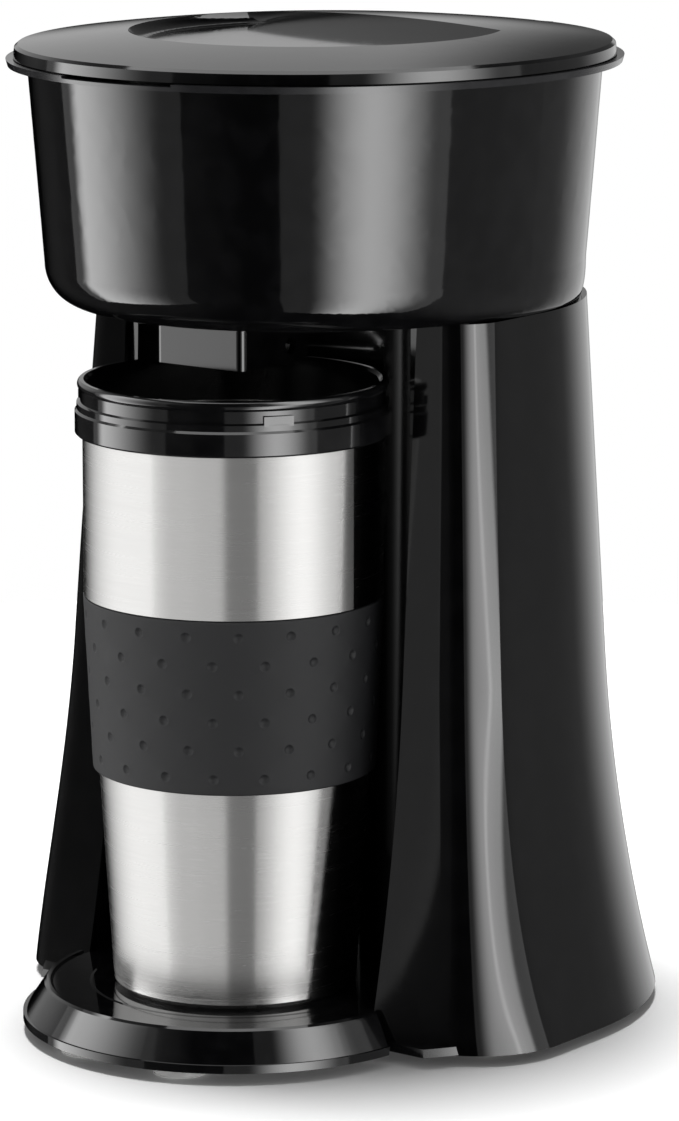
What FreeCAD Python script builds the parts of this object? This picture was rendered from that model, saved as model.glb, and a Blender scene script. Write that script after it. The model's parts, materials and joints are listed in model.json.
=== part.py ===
import FreeCAD, Part
import math
import os
from FreeCAD import Matrix, Vector

# Single-serve drip coffee maker with its steel travel mug.
# Millimetres, +Z up, front towards -Y. Shapes are drawn around the column axis
# and moved at the end so that the middle of the footprint is the origin.

# Clearances
GAP = 0.3           # between pieces that are not fixed face to face
SNUG = 0.05         # radial play of hoses, plugs and screws
RUN = 0.05          # radial play of turning pins
SEAM = 0.5          # shadow line between column and head

# Column and mug bay
WALL = 2.5          # housing wall
SKIRT_Z = 3.0       # lower edge of the column
COLUMN_TOP_Z = 194.5
COLUMN_TOP_R = 66.0
FLARE_R = 900.0     # radius of the flare, upright at the column top
FACET_Y = 34.0      # front faces of the wings, behind the axis at the top
CORNER_R = 7.0      # soft corner between wing front and flank
BAY_HALF = 49.0     # half width of the mug bay
PANEL_T = 2.2       # bay liner
BOSS_R = 4.6
BASE_BOSS_H = 18.0  # screw bosses above the base cover

# Base
COVER_Z = 3.2
COVER_T = 2.2
LIP_R = 57.4        # front lip of the base cover
FOOT_R = 7.5
FOOT_STUD_R = 2.8
FOOT_RING_R = 46.0  # front feet, around the mug axis
FOOT_ANGLE = 20.0
REAR_FOOT_X, REAR_FOOT_Y = 52.0, 44.0

# Mug
MUG_Y = -48.0       # mug axis
SEAT_Z = 13.2       # platform height under the mug
MUG_H = 164.4
COLLAR_R = 42.0
COLLAR_Z = 149.9    # lower edge of the collar above the seat
STEEL_T = 0.8
UPPER_R = 40.0      # steel above the grip
GRIP_TOP_R, GRIP_TOP_Z = 40.2, 106.4
GRIP_LOW_R, GRIP_LOW_Z = 37.9, 59.6
GRIP_T = 1.6
BELOW_R = 36.3      # steel just below the grip
BOTTOM_R = 32.8
LINER_TOP_R, LINER_LOW_R = 37.0, 29.0

# Platform
RIM_Z = 14.0
RIM_R = 51.6
FLOOR_DROP = 1.3    # floor ring below the mug seat
SEAT_R = 38.6
SHEET = 2.2

# Head
HEAD_Y = -11.8      # middle of the oval head
OVAL = 6.0          # front-to-back half axis exceeds the half width by this
HEAD_ROUND = 11.0   # rounding under the head
HEAD_A_LOW = 70.4   # half width above the rounding
HEAD_A_TOP = 74.5
HEAD_TOP_Z = 258.4
HEAD_POINTS = 40    # points on one turn of the head outline
ROUND_STEPS = 6

# Tank and brewing chamber
TANK_Z = 208.0
TANK_T = 2.0
FLANGE_A = 80.2
FLANGE_T = 1.8
FINGER_HALF = 18.0  # lowered stretch of the flange for lifting the lid
CHAMBER_R = 34.0
CHAMBER_TOP_Z = 245.0
OUTLET_R = 7.0

# Lid and hinge
LID_A = 78.2
LID_EDGE = 3.3      # height of the lid skirt
LID_CROWN = 5.6     # dome above the skirt
LID_T = 2.2
RECESS_R = 49.0     # finger recess
RECESS_BACK = 24.6  # straight rear edge behind the lid middle
RECESS_FLOOR = 0.8  # recess floor above the skirt edge
RECESS_SLOPE = 7.0
LID_RIB_A = 66.0
HINGE_BACK = 80.2   # hinge axis behind the lid middle
HINGE_UP = 1.2      # hinge axis above the flange
KNUCKLE_R = 2.6
PIN_R = 1.2
BARREL_HALF = 15.5
LUG_W = 4.5

# Drip spout
SPOUT_HALF = 14.6
SPOUT_LOW_Z = 182.2
SPOUT_WALL = 2.0
NOZZLE_R, NOZZLE_BORE = 6.0, 4.2
VENT_R = 2.2

# Filter basket
BASKET_LOW_Z = 213.0
BASKET_LOW_R = 25.0
BASKET_T = 1.6
MESH_T = 0.5
WINDOWS = 10

# Water line
TUBE_R, TUBE_BORE = 4.5, 3.3
HOSE_R = 6.5
HEATER_R = 46.0     # bend radius of the heater around the column axis
HEATER_Z = 26.0
HEATER_END = 20.0   # angle of the heater ends
BEND_R = 12.0
STUB_TOP_Z = 54.0
ELEMENT_R = 3.6
NIPPLE_LOW_Z = 180.0
VALVE_R = 8.5
VALVE_LOW_Z, VALVE_TOP_Z = 160.0, 192.0
BALL_R = 3.4
BALL_FLOOR_Z = 164.0
BALL_RISE = 2.8

# Switch, gland and screws
SWITCH_Z = 40.0
SWITCH_PROUD = 0.6
SWITCH_Y, SWITCH_H = 17.0, 24.0
BODY_Y, BODY_H, BODY_D = 12.8, 19.6, 14.0
POCKET_Y, POCKET_H = 10.0, 16.4
ROCKER_TILT = 7.0
SPADE_Z = 5.0       # switch spades above and below the middle
THERMO_TAB = 4.5    # thermostat tabs beside its axis
GLAND_Z = 20.0
GLAND_R, GLAND_BORE = 5.4, 3.6
SCREW_R = 1.4
SCREW_HEAD_R = 3.0
HEAD_SCREW_ANGLES = (28.0, 152.0, -8.0, 188.0)
BASE_SCREW_ANGLES = (35.0, 145.0, -22.0, 202.0)
WIRE_R = 1.3

# Derived heights and places
COVER_TOP_Z = COVER_Z + COVER_T
HEAD_Z = COLUMN_TOP_Z + SEAM
HEAD_FLOOR_Z = HEAD_Z + WALL
FLANGE_TOP_Z = HEAD_TOP_Z + FLANGE_T
LID_Z = FLANGE_TOP_Z + GAP
HINGE_Y = HEAD_Y + HINGE_BACK
HINGE_Z = FLANGE_TOP_Z + HINGE_UP
PANEL_R = BAY_HALF + PANEL_T


def flare(z):
    """How far the housing stands out at height z, compared with the column top."""
    drop = COLUMN_TOP_Z - z
    return FLARE_R - math.sqrt(FLARE_R ** 2 - drop ** 2)


SKIRT_R = COLUMN_TOP_R + flare(SKIRT_Z)
MID_Y = (MUG_Y - LIP_R + SKIRT_R) / 2.0
STUB_X = HEATER_R * math.cos(math.radians(HEATER_END)) + BEND_R * math.sin(math.radians(HEATER_END))
STUB_Y = HEATER_R * math.sin(math.radians(HEATER_END)) - BEND_R * math.cos(math.radians(HEATER_END))

Z_AXIS = Vector(0, 0, 1)
ORIGIN = Vector(0, 0, 0)


def save(name, *shapes):
    """Write one node, moved so that the footprint middle is the origin."""
    solids = [s for shape in shapes for s in shape.Solids]
    result = solids[0] if len(solids) == 1 else Part.makeCompound(solids)
    result.translate(Vector(0, -MID_Y, 0))
    result.exportStep("parts/" + name + ".step")


def outline(start, *steps):
    """Closed face in the XZ plane. A step is a point, or a pair of points for an arc."""
    edges, last = [], start
    for step in steps + (start,):
        if isinstance(step[0], tuple):
            middle, end = step
            points = [Vector(x, 0, z) for x, z in (last, middle, end)]
            edges.append(Part.Arc(*points).toShape())
            last = end
        else:
            edges.append(Part.makeLine(Vector(last[0], 0, last[1]), Vector(step[0], 0, step[1])))
            last = step
    return Part.Face(Part.Wire(edges))


def turned(start, *steps):
    """Solid of revolution about the Z axis."""
    return outline(start, *steps).revolve(ORIGIN, Z_AXIS, 360)


def post(x, y, z_low, z_high, radius):
    """Upright cylinder between two heights."""
    return Part.makeCylinder(radius, z_high - z_low, Vector(x, y, z_low))


def pipe(x, y, z_low, z_high, radius, bore):
    """Upright tube between two heights."""
    return post(x, y, z_low, z_high, radius).cut(post(x, y, z_low - 1, z_high + 1, bore))


def block(x_low, x_high, y_low, y_high, z_low, z_high):
    """Box between six planes."""
    return Part.makeBox(x_high - x_low, y_high - y_low, z_high - z_low, Vector(x_low, y_low, z_low))


def at_mug(shape):
    """Move a shape from the column axis to the mug axis."""
    shape.translate(Vector(0, MUG_Y, 0))
    return shape


def around(radius, angle, z=0.0):
    """Point at an angle around the column axis."""
    turn = math.radians(angle)
    return Vector(radius * math.cos(turn), radius * math.sin(turn), z)


def sweep(path, radius):
    """Round bar along a smooth path."""
    first = path.Edges[0]
    centre = first.valueAt(first.FirstParameter)
    normal = first.tangentAt(first.FirstParameter)
    ring = Part.Wire(Part.makeCircle(radius, centre, normal))
    return path.makePipeShell([ring], True, False)


def route(points, radius, bend):
    """Round bar through points, with the corners rounded by tangent arcs."""
    edges, last = [], points[0]
    for before, corner, after in zip(points, points[1:], points[2:]):
        into = (corner - before).normalize()
        out = (after - corner).normalize()
        half = into.getAngle(out) / 2.0
        reach = bend * math.tan(half)
        start, end = corner - into * reach, corner + out * reach
        inward = (out - into).normalize()
        middle = corner + inward * (bend / math.cos(half) - bend)
        edges.append(Part.makeLine(last, start))
        edges.append(Part.Arc(start, middle, end).toShape())
        last = end
    edges.append(Part.makeLine(last, points[-1]))
    return sweep(Part.Wire(edges), radius)


# Column, bay and base

def column_form(inset, z_low, z_high):
    """Flared column with its front faces, every side moved in by the inset."""
    z_mid = (z_low + z_high) / 2.0
    heights = (z_low, z_mid, z_high)
    side = [(COLUMN_TOP_R + flare(z) - inset, z) for z in heights]
    body = turned((0, z_low), side[0], (side[1], side[2]), (0, z_high))
    front = [(-FACET_Y - flare(z) + inset, z) for z in heights]
    face = outline((2 * SKIRT_R, z_low), front[0], (front[1], front[2]), (2 * SKIRT_R, z_high))
    face.rotate(ORIGIN, Z_AXIS, 90)
    face.translate(Vector(-2 * SKIRT_R, 0, 0))
    return body.common(face.extrude(Vector(4 * SKIRT_R, 0, 0)))


def bay_form(half, z_low, z_high):
    """Mug bay seen from above: round at the back, open to the front."""
    reach = 2 * SKIRT_R
    box = block(-half, half, MUG_Y - reach, MUG_Y, z_low, z_high)
    return box.fuse(post(0, MUG_Y, z_low, z_high, half)).removeSplitter()


def rounded_column():
    """Column body with soft corners between the wing fronts and the flanks."""
    body = column_form(0, SKIRT_Z, COLUMN_TOP_Z)
    corners = []
    for edge in body.Edges:
        box = edge.BoundBox
        if box.ZLength > 0.9 * (COLUMN_TOP_Z - SKIRT_Z) and box.YMax < -FACET_Y + 1 and abs(box.Center.x) > BAY_HALF:
            corners.append(edge)
    return body.makeFillet(CORNER_R, corners)


def tilted(shape, angle, z):
    """Turn a fitting drawn at the origin, facing +X, onto the flank at an angle and a height."""
    slope = math.degrees(math.asin((COLUMN_TOP_Z - z) / FLARE_R))
    shape.rotate(ORIGIN, Vector(0, 1, 0), -slope)
    shape.translate(Vector(COLUMN_TOP_R + flare(z), 0, z))
    shape.rotate(ORIGIN, Z_AXIS, angle)
    return shape


def head_bosses(radius, z_low, z_high):
    places = [around(COLUMN_TOP_R - WALL - BOSS_R + 0.6, a) for a in HEAD_SCREW_ANGLES]
    return [post(p.x, p.y, z_low, z_high, radius) for p in places]


def base_bosses(radius, z_low, z_high):
    wall = COLUMN_TOP_R + flare(COVER_TOP_Z + BASE_BOSS_H) - WALL
    places = [around(wall - BOSS_R + 0.8, a) for a in BASE_SCREW_ANGLES]
    return [post(p.x, p.y, z_low, z_high, radius) for p in places]


def platform_bosses(radius, z_low, z_high):
    return [post(x, MUG_Y - 16.0, z_low, z_high, radius) for x in (-30.0, 30.0)]


def column_shell():
    body = rounded_column()
    tongue = column_form(WALL / 2.0, COLUMN_TOP_Z - 1, HEAD_Z)
    body = body.fuse(tongue).cut(column_form(WALL, SKIRT_Z - 1, HEAD_Z + 1))
    bosses = head_bosses(BOSS_R, HEAD_Z - 20.0, HEAD_Z)
    bosses += base_bosses(BOSS_R, COVER_TOP_Z, COVER_TOP_Z + BASE_BOSS_H)
    pad = block(-WALL - 1.5, SWITCH_PROUD, -SWITCH_Y / 2 - 1, SWITCH_Y / 2 + 1, -SWITCH_H / 2 - 1, SWITCH_H / 2 + 1)
    body = body.fuse(bosses + [tilted(pad, 180, SWITCH_Z)])
    window = block(-9, 9, -BODY_Y / 2 - GAP / 2, BODY_Y / 2 + GAP / 2, -BODY_H / 2 - GAP / 2, BODY_H / 2 + GAP / 2)
    gland = Part.makeCylinder(GLAND_R + SNUG, 30, Vector(-15, 0, 0), Vector(1, 0, 0))
    cuts = [tilted(window, 180, SWITCH_Z), tilted(gland, 90, GLAND_Z)]
    cuts += head_bosses(SCREW_R + SNUG, HEAD_Z - 16.0, HEAD_Z + 1)
    cuts += base_bosses(SCREW_R + SNUG, COVER_TOP_Z - 1, COVER_TOP_Z + BASE_BOSS_H - 2)
    cuts.append(bay_form(BAY_HALF, 0, HEAD_Z + 1).common(block(-100, 100, -200, -FACET_Y + WALL + 2, 0, 300)))
    return body.cut(cuts)


def bay_panel():
    wall = bay_form(PANEL_R, COVER_TOP_Z, HEAD_Z).cut(bay_form(BAY_HALF, 0, HEAD_Z + 1))
    return wall.common(column_form(WALL + GAP / 2, COVER_TOP_Z, HEAD_Z))


def platform_body():
    """Round platform: flared wall, thin rim, floor ring and raised mug seat."""
    wall_low = LIP_R - 0.8
    floor = SEAT_Z - FLOOR_DROP
    return at_mug(turned(
        (0, COVER_TOP_Z), (wall_low, COVER_TOP_Z),
        ((wall_low - 2.0, (COVER_TOP_Z + RIM_Z) / 2 + 0.6), (RIM_R, RIM_Z - 0.6)),
        (RIM_R - 0.6, RIM_Z), (RIM_R - 1.6, RIM_Z), (RIM_R - 2.4, floor),
        (SEAT_R + 0.8, floor), (SEAT_R, SEAT_Z), (0, SEAT_Z)))


def platform_hollow():
    """Space under the platform, one sheet inside its surface."""
    wall_low = LIP_R - 0.8 - SHEET
    floor = SEAT_Z - FLOOR_DROP - SHEET
    return at_mug(turned(
        (0, COVER_TOP_Z - 2), (wall_low, COVER_TOP_Z - 2), (wall_low, COVER_TOP_Z), (RIM_R + 0.9, floor),
        (SEAT_R - SHEET / 2, floor), (SEAT_R - SHEET, SEAT_Z - SHEET), (0, SEAT_Z - SHEET)))


def mug_platform():
    disc = platform_body()
    front = disc.cut(column_form(-GAP, SKIRT_Z - 1, COLUMN_TOP_Z))
    inside = disc.common(bay_form(BAY_HALF - GAP, 0, 2 * RIM_Z))
    body = front.fuse(inside).removeSplitter().cut(platform_hollow())
    body = body.fuse(platform_bosses(BOSS_R, COVER_TOP_Z, SEAT_Z - FLOOR_DROP - 1))
    return body.cut(platform_bosses(SCREW_R + SNUG, COVER_TOP_Z - 1, SEAT_Z - FLOOR_DROP - SHEET))


def foot_places():
    turn = math.radians(FOOT_ANGLE)
    x, y = FOOT_RING_R * math.sin(turn), MUG_Y - FOOT_RING_R * math.cos(turn)
    return [(-x, y), (x, y), (-REAR_FOOT_X, REAR_FOOT_Y), (REAR_FOOT_X, REAR_FOOT_Y)]


def base_cover():
    lip = at_mug(post(0, 0, COVER_Z, COVER_TOP_Z, LIP_R))
    inner = column_form(WALL + GAP, COVER_Z, COVER_TOP_Z)
    bridge = lip.common(bay_form(BAY_HALF - GAP, 0, 2 * COVER_TOP_Z))
    plate = lip.cut(column_form(-GAP, COVER_Z - 1, COVER_TOP_Z + 1)).fuse([inner, bridge]).removeSplitter()
    cuts = [post(x, y, 0, 20, FOOT_STUD_R + SNUG) for x, y in foot_places()]
    for bosses in (base_bosses, platform_bosses):
        cuts += bosses(SCREW_R + 4 * SNUG, 0, 20) + bosses(SCREW_HEAD_R + GAP, 0, COVER_Z + 1.2)
    return plate.cut(cuts)


def rubber_feet():
    feet = []
    for x, y in foot_places():
        pad = turned((0, 0), (FOOT_R - 0.6, 0), (FOOT_R, 0.6), (FOOT_R, COVER_Z), (FOOT_STUD_R, COVER_Z),
                     (FOOT_STUD_R, COVER_TOP_Z + 1.5), (0, COVER_TOP_Z + 1.5))
        pad.translate(Vector(x, y, 0))
        feet.append(pad)
    return feet


def screws(bosses, seat_z, length, up):
    """Screws in the bosses, with the shank pointing up or down from the seat."""
    head = 1.2 if up else 2.0
    low = (seat_z, seat_z - length)[not up]
    shanks = bosses(SCREW_R, low, low + length)
    heads = bosses(SCREW_HEAD_R, seat_z - head if up else seat_z, seat_z if up else seat_z + head)
    return [shank.fuse(cap).removeSplitter() for shank, cap in zip(shanks, heads)]


def base_screws():
    seat = COVER_Z + 1.2
    return screws(base_bosses, seat, 15.0, True) + screws(platform_bosses, seat, 4.6, True)


# Head, tank and lid

def head_half_width(z):
    share = (z - HEAD_Z - HEAD_ROUND) / (HEAD_TOP_Z - HEAD_Z - HEAD_ROUND)
    return HEAD_A_LOW + (HEAD_A_TOP - HEAD_A_LOW) * share


def head_ring(z, inset, share):
    """Head outline at height z. The share, 0 to 1, says how much of the rounding is taken off."""
    half = head_half_width(max(z, HEAD_Z + HEAD_ROUND)) - inset
    points = []
    for step in range(HEAD_POINTS):
        turn = 2 * math.pi * step / HEAD_POINTS
        x, y = half * math.cos(turn), HEAD_Y + (half + OVAL) * math.sin(turn)
        over = math.hypot(x, y) - COLUMN_TOP_R + inset
        over = (over + math.hypot(over, 4.0)) / 2.0
        take = max(HEAD_ROUND * math.tanh(over / HEAD_ROUND) - inset, 0.3) * share
        points.append(Vector(x - take * math.cos(turn), y - take * math.sin(turn), z))
    curve = Part.BSplineCurve()
    curve.interpolate(points, True)
    return Part.Wire(curve.toShape())


def head_form(inset, z_top):
    """Head body with the rounding that runs out where it meets the column."""
    rise = HEAD_ROUND - inset
    rings = []
    for step in range(ROUND_STEPS):
        turn = math.radians(90.0 * step / (ROUND_STEPS - 1))
        rings.append(head_ring(HEAD_Z + inset + rise * (1 - math.cos(turn)), inset, 1 - math.sin(turn)))
    low = Part.makeLoft(rings, True, False)
    high = Part.makeLoft([rings[-1], head_ring(z_top, inset, 0)], True, True)
    return low.fuse(high)


def head_shell():
    body = head_form(0, HEAD_TOP_Z).cut(head_form(WALL, HEAD_TOP_Z + 1))
    cuts = [post(0, MUG_Y, HEAD_Z - 1, HEAD_Z + 6, OUTLET_R + 5.2)]
    cuts += [post(x, STUB_Y, HEAD_Z - 1, HEAD_Z + 6, HOSE_R + 1.5) for x in (-STUB_X, STUB_X)]
    cuts += head_bosses(SCREW_R + 4 * SNUG, HEAD_Z - 1, HEAD_Z + 6)
    return body.cut(cuts)


def oval_ring(half, z):
    """Ellipse around the head middle, longer from front to back."""
    middle = Vector(0, HEAD_Y, z)
    curve = Part.Ellipse(middle + Vector(0, half + OVAL, 0), middle + Vector(half, 0, 0), middle)
    return Part.Wire(curve.toShape())


def oval(half_low, z_low, half_high, z_high):
    """Oval drum between two heights."""
    return Part.makeLoft([oval_ring(half_low, z_low), oval_ring(half_high, z_high)], True, True)


def tank_drum(inset, z_low, z_high):
    inset += WALL + GAP
    return oval(head_half_width(z_low) - inset, z_low, head_half_width(z_high) - inset, z_high)


def hinge_bar(x_low, x_high, radius):
    return Part.makeCylinder(radius, x_high - x_low, Vector(x_low, HINGE_Y, HINGE_Z), Vector(1, 0, 0))


def lug_spans():
    near = BARREL_HALF + GAP
    return [(near, near + LUG_W), (-near - LUG_W, -near)]


def water_tank():
    floor_z = TANK_Z + TANK_T
    outer = tank_drum(0, TANK_Z, HEAD_TOP_Z)
    flange = oval(FLANGE_A - 0.5, HEAD_TOP_Z, FLANGE_A, FLANGE_TOP_Z)
    finger = block(-FINGER_HALF, FINGER_HALF, -200, HEAD_Y, FLANGE_TOP_Z - 0.7, FLANGE_TOP_Z + 1)
    flange = flange.cut(finger)
    lugs = []
    for low, high in lug_spans():
        web = block(low, high, HINGE_Y - KNUCKLE_R, HINGE_Y + KNUCKLE_R, FLANGE_TOP_Z - 1, HINGE_Z)
        lugs.append(web.fuse(hinge_bar(low, high, KNUCKLE_R)))
    chamber = post(0, MUG_Y, TANK_Z, CHAMBER_TOP_Z, CHAMBER_R + TANK_T).common(outer)
    standpipe = post(-STUB_X, STUB_Y, NIPPLE_LOW_Z + 6, CHAMBER_TOP_Z + 3, TUBE_R)
    nipple = post(STUB_X, STUB_Y, NIPPLE_LOW_Z, floor_z, TUBE_R)
    hollow = tank_drum(TANK_T, floor_z, FLANGE_TOP_Z + 1)
    body = outer.fuse([flange] + lugs).cut(hollow).fuse([chamber, standpipe, nipple])
    cuts = [post(0, MUG_Y, floor_z, CHAMBER_TOP_Z + 1, CHAMBER_R), post(0, MUG_Y, 0, 300, OUTLET_R)]
    cuts += [post(-STUB_X, STUB_Y, 0, 300, TUBE_BORE), post(STUB_X, STUB_Y, 0, floor_z + 1, TUBE_BORE)]
    cuts.append(hinge_bar(-30, 30, PIN_R + RUN / 2))
    near = BARREL_HALF + GAP
    cuts.append(block(-near, near, HINGE_Y - KNUCKLE_R - GAP, HINGE_Y + 20, HEAD_TOP_Z, FLANGE_TOP_Z + 1))
    return body.cut(cuts).removeSplitter()


def lid_form(inset, crown_cut):
    """Turned lid body, stretched to the oval. Walls move in by the inset."""
    edge_z = LID_Z + LID_EDGE - crown_cut
    top_z = LID_Z + LID_EDGE + LID_CROWN - crown_cut
    r = LID_A - inset
    shoulder = (0.55 * r, edge_z + 0.68 * (top_z - edge_z))
    face = turned((0, LID_Z - inset), (r, LID_Z - inset), (r - 0.3, edge_z - 0.6), (r - 1.2, edge_z + 0.2),
                  (shoulder, (0, top_z)))
    return stretched(face)


def stretched(shape):
    """Stretch a turned shape along Y to the oval of the lid, and move it to the head middle."""
    matrix = Matrix()
    matrix.scale(1.0, (LID_A + OVAL) / LID_A, 1.0)
    shape = shape.transformGeometry(matrix)
    shape.translate(Vector(0, HEAD_Y, 0))
    return shape


def lid_recess(grow):
    """D-shaped finger recess: sloped round front, upright straight back."""
    floor = LID_Z + LID_EDGE + RECESS_FLOOR - grow
    low = RECESS_R - RECESS_SLOPE + grow
    bowl = stretched(turned((0, floor), (low, floor), ((low + 4.4, floor + 0.9), (RECESS_R + grow, floor + 3.0)),
                            (RECESS_R + grow + 6, floor + 12), (0, floor + 12)))
    reach = 2 * LID_A
    return bowl.common(block(-reach, reach, HEAD_Y - reach, HEAD_Y + RECESS_BACK + grow, floor - 1, floor + 20))


def lid():
    hollow = lid_form(LID_T, LID_T).cut(lid_recess(LID_T))
    body = lid_form(0, 0).cut([lid_recess(0), hollow])
    rib_z = LID_Z - 2.0
    rib = oval(LID_RIB_A, rib_z, LID_RIB_A, LID_Z + LID_EDGE)
    rib = rib.cut(oval(LID_RIB_A - LID_T, rib_z - 1, LID_RIB_A - LID_T, LID_Z + LID_EDGE + 1))
    body = body.fuse(rib)
    reach = 2 * LID_A
    back = block(-reach, reach, HINGE_Y - 1, HINGE_Y + reach, 0, 400)
    notches = [block(low - GAP, high + GAP, HINGE_Y - KNUCKLE_R - 0.8, HINGE_Y + reach, 0, 400)
               for low, high in lug_spans()]
    plate = block(-BARREL_HALF, BARREL_HALF, HINGE_Y - 8, HINGE_Y, HINGE_Z - 0.8, HINGE_Z + 1.4)
    barrel = hinge_bar(-BARREL_HALF, BARREL_HALF, KNUCKLE_R).fuse(plate)
    body = body.cut([back] + notches).fuse(barrel)
    return body.cut(hinge_bar(-30, 30, PIN_R + RUN))


def hinge_pin():
    end = lug_spans()[0][1]
    return hinge_bar(-end, end, PIN_R)


# Brewing parts

def drip_spout():
    half, inner = SPOUT_HALF, SPOUT_HALF - SPOUT_WALL
    shroud = block(-half, half, -half, half, SPOUT_LOW_Z, HEAD_Z)
    upright = [e for e in shroud.Edges if e.BoundBox.ZLength > 5]
    shroud = shroud.makeFillet(2.0, upright)
    shroud = shroud.cut(block(-inner, inner, -inner, inner, SPOUT_LOW_Z - 1, HEAD_Z - SPOUT_WALL))
    vent_z = (SPOUT_LOW_Z + HEAD_Z - SPOUT_WALL) / 2.0 - 1
    shroud = shroud.cut(Part.makeCylinder(VENT_R, 4 * half, Vector(-2 * half, 6.0, vent_z), Vector(1, 0, 0)))
    stem = turned((0, SPOUT_LOW_Z + 2), (NOZZLE_R - 1.5, SPOUT_LOW_Z + 2), (NOZZLE_R, SPOUT_LOW_Z + 6),
                  (NOZZLE_R, HEAD_Z), (OUTLET_R + 4.6, HEAD_Z), (OUTLET_R + 4.6, TANK_Z - 1.5),
                  (OUTLET_R - SNUG, TANK_Z - 1.5), (OUTLET_R - SNUG, TANK_Z + TANK_T), (0, TANK_Z + TANK_T))
    body = shroud.fuse(stem)
    funnel = turned((0, 0), (NOZZLE_BORE - 1, 0), (NOZZLE_BORE - 1, SPOUT_LOW_Z + 8), (NOZZLE_BORE, HEAD_Z),
                    (OUTLET_R - 1.6, TANK_Z + TANK_T + 1), (0, TANK_Z + TANK_T + 1))
    return at_mug(body.cut(funnel))


def spout_gasket():
    return at_mug(pipe(0, 0, TANK_Z - 1.5, TANK_Z, OUTLET_R + 4.2, OUTLET_R + SNUG))


def basket_cone(inset, z_low, z_high):
    """Cone of the basket wall, continued straight to any height."""
    slope = (CHAMBER_R - 0.8 - BASKET_LOW_R) / (CHAMBER_TOP_Z - BASKET_LOW_Z)

    def radius(z):
        return BASKET_LOW_R + slope * (z - BASKET_LOW_Z) - inset

    return turned((0, z_low), (radius(z_low), z_low), (radius(z_high), z_high), (0, z_high))


def filter_basket():
    rim = post(0, 0, CHAMBER_TOP_Z, CHAMBER_TOP_Z + 2.0, CHAMBER_R + TANK_T)
    tab = block(-7, 7, -CHAMBER_R - TANK_T, -CHAMBER_R + 0.4, CHAMBER_TOP_Z + 1, CHAMBER_TOP_Z + 9)
    body = basket_cone(0, BASKET_LOW_Z, CHAMBER_TOP_Z).fuse([rim, tab])
    body = body.cut(basket_cone(BASKET_T, BASKET_LOW_Z + BASKET_T, CHAMBER_TOP_Z + 3))
    windows = []
    for step in range(WINDOWS):
        slot = block(BASKET_LOW_R - 6, CHAMBER_R + 1, -5.0, 5.0, BASKET_LOW_Z + 4, CHAMBER_TOP_Z - 5)
        slot.rotate(ORIGIN, Z_AXIS, 360.0 * (step + 0.5) / WINDOWS)
        windows.append(slot)
    windows.append(post(0, 0, BASKET_LOW_Z - 1, BASKET_LOW_Z + 5, BASKET_LOW_R / 2))
    return at_mug(body.cut(windows))


def filter_mesh():
    low, high = BASKET_LOW_Z + BASKET_T, CHAMBER_TOP_Z
    skin = basket_cone(BASKET_T + SNUG, low, high)
    return at_mug(skin.cut(basket_cone(BASKET_T + SNUG + MESH_T, low + MESH_T, high + 1)))


def spray_arm():
    low, high = CHAMBER_TOP_Z + 4.0, CHAMBER_TOP_Z + 10.5
    start, end = Vector(-STUB_X, STUB_Y, low), Vector(0, MUG_Y, low)
    run = end - start
    bar = block(0, run.Length, -5.5, 5.5, low, high)
    bar = bar.makeFillet(2.0, [e for e in bar.Edges if e.BoundBox.XLength > 10 and e.BoundBox.ZMin > low + 1])
    duct = Part.makeCylinder(2.2, run.Length, Vector(0, 0, (low + high) / 2), Vector(1, 0, 0))
    for shape in (bar, duct):
        shape.rotate(ORIGIN, Z_AXIS, math.degrees(math.atan2(run.y, run.x)))
        shape.translate(Vector(start.x, start.y, 0))
    socket = post(start.x, start.y, CHAMBER_TOP_Z - 8, high, TUBE_R + 2.2)
    rose = at_mug(turned((0, low - 1.0), (14.0, low - 1.0), (15.0, low), (15.0, high - 2), (13.0, high), (0, high)))
    body = bar.fuse([socket, rose])
    cuts = [duct, post(start.x, start.y, 0, CHAMBER_TOP_Z + 3 + SNUG, TUBE_R + SNUG)]
    cuts.append(post(start.x, start.y, 0, (low + high) / 2, 2.2))
    cuts.append(post(0, MUG_Y, low + 1.0, high - 2.0, 11.0))
    for step in range(6):
        hole = around(8.0, 60.0 * step)
        cuts.append(post(hole.x, MUG_Y + hole.y, low - 3, low + 2, 0.9))
    return body.cut(cuts)


# Water line and heater

def heater_path(radius, z, end, stubs):
    """Bend of the heater around the column axis, with or without upright ends."""
    first, last = around(radius, end, z), around(radius, 180 - end, z)
    edges = [Part.Arc(first, around(radius, 90, z), last).toShape()]
    if stubs:
        for side, point in ((1, first), (-1, last)):
            turn = Vector(side * STUB_X, STUB_Y, z)
            lead = (turn - point) * math.sin(math.radians(45))
            middle = point + lead + Vector(0, 0, BEND_R * (1 - math.cos(math.radians(45))))
            top = turn + Vector(0, 0, BEND_R)
            bend = Part.Arc(point, middle, top).toShape()
            stub = Part.makeLine(top, Vector(top.x, top.y, STUB_TOP_Z))
            edges += [bend, stub]
    return Part.Wire(Part.__sortEdges__(edges))


def heater_tube():
    path = heater_path(HEATER_R, HEATER_Z, HEATER_END, True)
    return sweep(path, TUBE_R).cut(sweep(path, TUBE_BORE))


def element_z():
    return HEATER_Z - TUBE_R - ELEMENT_R - GAP


def heater_element():
    return sweep(heater_path(HEATER_R, element_z(), HEATER_END + 8, False), ELEMENT_R)


def heater_brackets():
    result = []
    hole = sweep(heater_path(HEATER_R, HEATER_Z, HEATER_END, False), TUBE_R + GAP)
    slot = sweep(heater_path(HEATER_R, element_z(), HEATER_END, False), ELEMENT_R + GAP)
    for angle in (42.0, 138.0):
        body = block(HEATER_R - 8, HEATER_R + 8, -4, 4, COVER_TOP_Z, HEATER_Z + TUBE_R + 2)
        body.rotate(ORIGIN, Z_AXIS, angle)
        result.append(body.cut([hole, slot]))
    return result


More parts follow.
